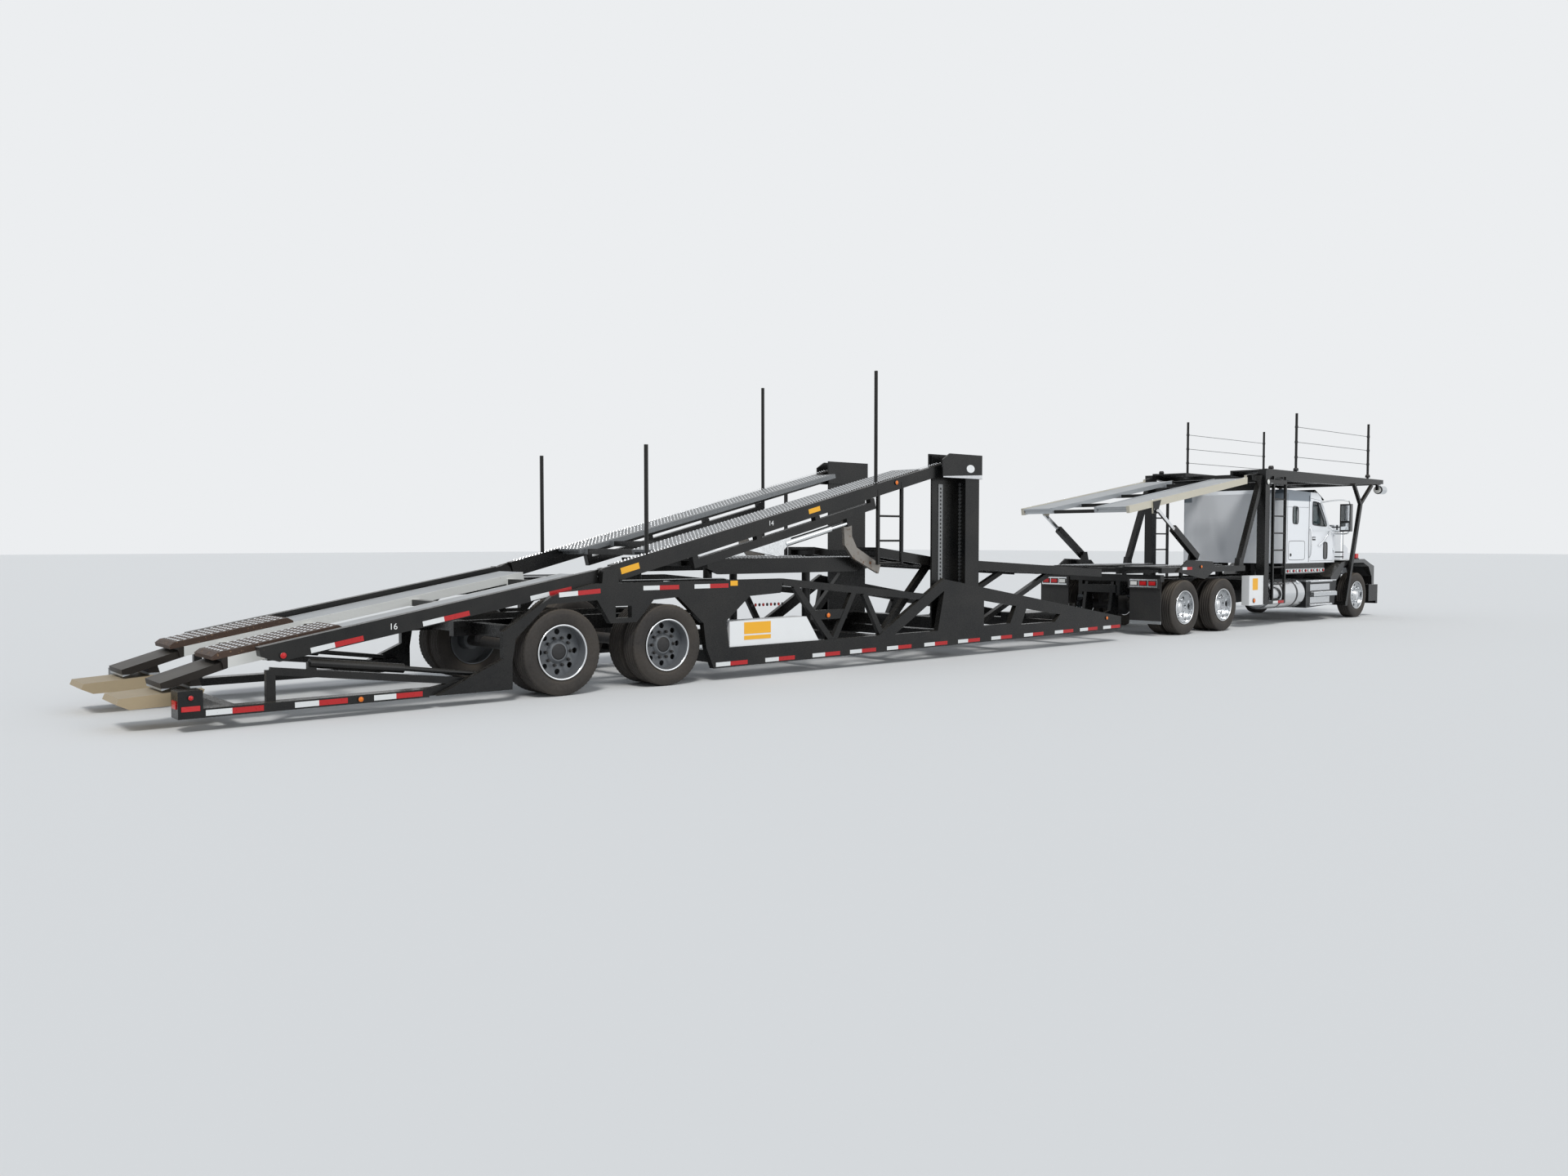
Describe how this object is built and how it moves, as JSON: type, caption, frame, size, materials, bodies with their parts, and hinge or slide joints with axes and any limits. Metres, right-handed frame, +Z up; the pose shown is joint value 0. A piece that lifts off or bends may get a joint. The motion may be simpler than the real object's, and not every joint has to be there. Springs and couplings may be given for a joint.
{
  "type": "articulated car transporter truck",
  "caption": "Articulated car transporter: bonneted sleeper tractor with head rack and tilting deck, and a two-deck trailer on a drop hitch.",
  "frame": {"origin": "on the ground at the middle of the overall box", "axes": "+X towards the tractor's bonnet, +Y to the truck's left, +Z up"},
  "size_m": [25.3, 3, 4.19],
  "materials": {
    "tyre": "matt black rubber, dusty",
    "grey_steel": "grey paint, worn",
    "polished_aluminium": "polished",
    "chrome": "bright",
    "glass": "dark tint",
    "white_paint": "gloss white",
    "seat_fabric": "woven",
    "black_paint": "satin black, dusty",
    "gloss_black_paint": "gloss black paint, dusty"
  },
  "bodies": {
    "tractor": {"tractor_frame": "black_paint", "tractor_axles": "black_paint", "engine_block": "black_paint", "cab_shell": "white_paint", "cab_glass": "glass", "cab_seats": "seat_fabric", "front_bumper": "chrome", "fuel_tanks": "chrome", "step_boxes": "black_paint", "air_cleaners": "chrome", "head_rack": "gloss_black_paint", "uprights": "gloss_black_paint", "low_deck": "gloss_black_paint", "rear_lamps": "black_paint", "control_cabinet": "white_paint"},
    "hood": {"hood": "white_paint", "grille": "chrome"},
    "door_right": {"door_right": "white_paint", "door_glass_right": "glass"},
    "door_left": {"door_left": "white_paint", "door_glass_left": "glass"},
    "knuckle_right": {"knuckle_right": "black_paint"},
    "knuckle_left": {"knuckle_left": "black_paint"},
    "tractor_deck": {"tractor_deck": "gloss_black_paint"},
    "leg_barrels": {"leg_barrels": "gloss_black_paint"},
    "leg_rods": {"leg_rods": "chrome"},
    "trailer": {"trailer_frame": "gloss_black_paint", "side_trusses": "gloss_black_paint", "guide_posts": "gloss_black_paint", "trailer_axles": "black_paint", "mid_deck": "gloss_black_paint", "front_deck": "gloss_black_paint", "hydraulic_cabinet": "white_paint"},
    "upper_deck": {"upper_deck": "gloss_black_paint", "upper_cylinders": "gloss_black_paint"},
    "post_carriages": {"post_carriages": "gloss_black_paint"},
    "lift_arms": {"lift_arms": "gloss_black_paint"},
    "tail_deck": {"tail_deck": "gloss_black_paint"},
    "tail_underframe": {"tail_underframe": "gloss_black_paint"},
    "tail_ramps": {"tail_ramps": "gloss_black_paint"},
    "trailer_wheel_1_right": {"trailer_wheel_1_right_tyre": "tyre", "trailer_wheel_1_right_rim": "grey_steel"},
    "trailer_wheel_1_left": {"trailer_wheel_1_left_tyre": "tyre", "trailer_wheel_1_left_rim": "grey_steel"},
    "trailer_wheel_2_right": {"trailer_wheel_2_right_tyre": "tyre", "trailer_wheel_2_right_rim": "grey_steel"},
    "trailer_wheel_2_left": {"trailer_wheel_2_left_tyre": "tyre", "trailer_wheel_2_left_rim": "grey_steel"},
    "drive_wheel_1_right": {"drive_wheel_1_right_tyre": "tyre", "drive_wheel_1_right_rim": "polished_aluminium"},
    "drive_wheel_1_left": {"drive_wheel_1_left_tyre": "tyre", "drive_wheel_1_left_rim": "polished_aluminium"},
    "drive_wheel_2_right": {"drive_wheel_2_right_tyre": "tyre", "drive_wheel_2_right_rim": "polished_aluminium"},
    "drive_wheel_2_left": {"drive_wheel_2_left_tyre": "tyre", "drive_wheel_2_left_rim": "polished_aluminium"},
    "steer_wheel_right": {"steer_wheel_right_tyre": "tyre", "steer_wheel_right_rim": "polished_aluminium"},
    "steer_wheel_left": {"steer_wheel_left_tyre": "tyre", "steer_wheel_left_rim": "polished_aluminium"}
  },
  "joints": [
    {"name": "hitch_turn", "type": "hinge", "parent": "tractor", "child": "trailer", "pos_m": [2.45, 0, 0.33], "axis": [0, 0, 1], "range_deg": [-40, 40]},
    {"name": "trailer_wheel_1_right_roll", "type": "hinge", "parent": "trailer", "child": "trailer_wheel_1_right", "pos_m": [-8.5, -1.0225, 0.465], "axis": [0, 1, 0], "continuous": true},
    {"name": "trailer_wheel_1_left_roll", "type": "hinge", "parent": "trailer", "child": "trailer_wheel_1_left", "pos_m": [-8.5, 1.0225, 0.465], "axis": [0, 1, 0], "continuous": true},
    {"name": "trailer_wheel_2_right_roll", "type": "hinge", "parent": "trailer", "child": "trailer_wheel_2_right", "pos_m": [-7.14, -1.0225, 0.465], "axis": [0, 1, 0], "continuous": true},
    {"name": "trailer_wheel_2_left_roll", "type": "hinge", "parent": "trailer", "child": "trailer_wheel_2_left", "pos_m": [-7.14, 1.0225, 0.465], "axis": [0, 1, 0], "continuous": true},
    {"name": "drive_wheel_1_right_roll", "type": "hinge", "parent": "tractor", "child": "drive_wheel_1_right", "pos_m": [3.98, -1.0225, 0.482], "axis": [0, 1, 0], "continuous": true},
    {"name": "drive_wheel_1_left_roll", "type": "hinge", "parent": "tractor", "child": "drive_wheel_1_left", "pos_m": [3.98, 1.0225, 0.482], "axis": [0, 1, 0], "continuous": true},
    {"name": "drive_wheel_2_right_roll", "type": "hinge", "parent": "tractor", "child": "drive_wheel_2_right", "pos_m": [5.31, -1.0225, 0.482], "axis": [0, 1, 0], "continuous": true},
    {"name": "drive_wheel_2_left_roll", "type": "hinge", "parent": "tractor", "child": "drive_wheel_2_left", "pos_m": [5.31, 1.0225, 0.482], "axis": [0, 1, 0], "continuous": true},
    {"name": "steer_right", "type": "hinge", "parent": "tractor", "child": "knuckle_right", "pos_m": [11.2, -0.745, 0.47], "axis": [0, 0, 1], "range_deg": [-35, 35]},
    {"name": "steer_wheel_right_roll", "type": "hinge", "parent": "knuckle_right", "child": "steer_wheel_right", "pos_m": [11.2, -1.06, 0.482], "axis": [0, 1, 0], "continuous": true},
    {"name": "door_right_swing", "type": "hinge", "parent": "tractor", "child": "door_right", "pos_m": [10.255, -1.095, 1.6], "axis": [0, 0, 1], "range_deg": [0, 70]},
    {"name": "steer_left", "type": "hinge", "parent": "tractor", "child": "knuckle_left", "pos_m": [11.2, 0.745, 0.47], "axis": [0, 0, 1], "range_deg": [-35, 35]},
    {"name": "steer_wheel_left_roll", "type": "hinge", "parent": "knuckle_left", "child": "steer_wheel_left", "pos_m": [11.2, 1.06, 0.482], "axis": [0, 1, 0], "continuous": true},
    {"name": "door_left_swing", "type": "hinge", "parent": "tractor", "child": "door_left", "pos_m": [10.255, 1.095, 1.6], "axis": [0, 0, -1], "range_deg": [0, 70]},
    {"name": "hood_tilt", "type": "hinge", "parent": "tractor", "child": "hood", "pos_m": [12.04, 0, 0.73], "axis": [0, 1, 0], "range_deg": [0, 65]},
    {"name": "tractor_deck_tilt", "type": "hinge", "parent": "tractor", "child": "tractor_deck", "pos_m": [6.6, 0, 2.86], "axis": [0, 1, 0], "range_deg": [-5, 5]},
    {"name": "leg_barrel_swing", "type": "hinge", "parent": "tractor", "child": "leg_barrels", "pos_m": [4.45, 0, 1.39], "axis": [0, 1, 0], "range_deg": [-8.6, 8.6]},
    {"name": "leg_rod_slide", "type": "slide", "parent": "leg_barrels", "child": "leg_rods", "axis": [-0.8445, 0, 0.5356], "range_m": [-0.21, 0.21]},
    {"name": "upper_deck_tilt", "type": "hinge", "parent": "trailer", "child": "upper_deck", "pos_m": [-7.91, 0, 1.262], "axis": [0, 1, 0], "range_deg": [0, 8]},
    {"name": "carriage_slide", "type": "slide", "parent": "trailer", "child": "post_carriages", "axis": [0, 0, 1], "range_m": [-0.82, 0]},
    {"name": "lift_arm_swing", "type": "hinge", "parent": "upper_deck", "child": "lift_arms", "pos_m": [-4.13958, 0, 1.88892], "axis": [0, 1, 0], "range_deg": [-44.5, 0]},
    {"name": "tail_deck_tilt", "type": "hinge", "parent": "trailer", "child": "tail_deck", "pos_m": [-7.91, 0, 1.262], "axis": [0, 1, 0], "range_deg": [0, 10]},
    {"name": "underframe_tilt", "type": "hinge", "parent": "trailer", "child": "tail_underframe", "pos_m": [-9.35, 0, 0.2], "axis": [0, 1, 0], "range_deg": [0, 15.6]},
    {"name": "ramp_slide", "type": "slide", "parent": "tail_deck", "child": "tail_ramps", "axis": [-0.9842, 0, -0.1772], "range_m": [0, 1]}
  ],
  "couplings": [
    {"joint": "steer_right", "follows": "steer_left", "ratio": 1},
    {"joint": "leg_barrel_swing", "follows": "tractor_deck_tilt", "ratio": 1.706},
    {"joint": "leg_rod_slide", "follows": "tractor_deck_tilt", "m_per_rad": 2.393},
    {"joint": "carriage_slide", "follows": "upper_deck_tilt", "m_per_rad": -5.8},
    {"joint": "lift_arm_swing", "follows": "upper_deck_tilt", "ratio": -5.5},
    {"joint": "underframe_tilt", "follows": "tail_deck_tilt", "ratio": 1.55}
  ]
}
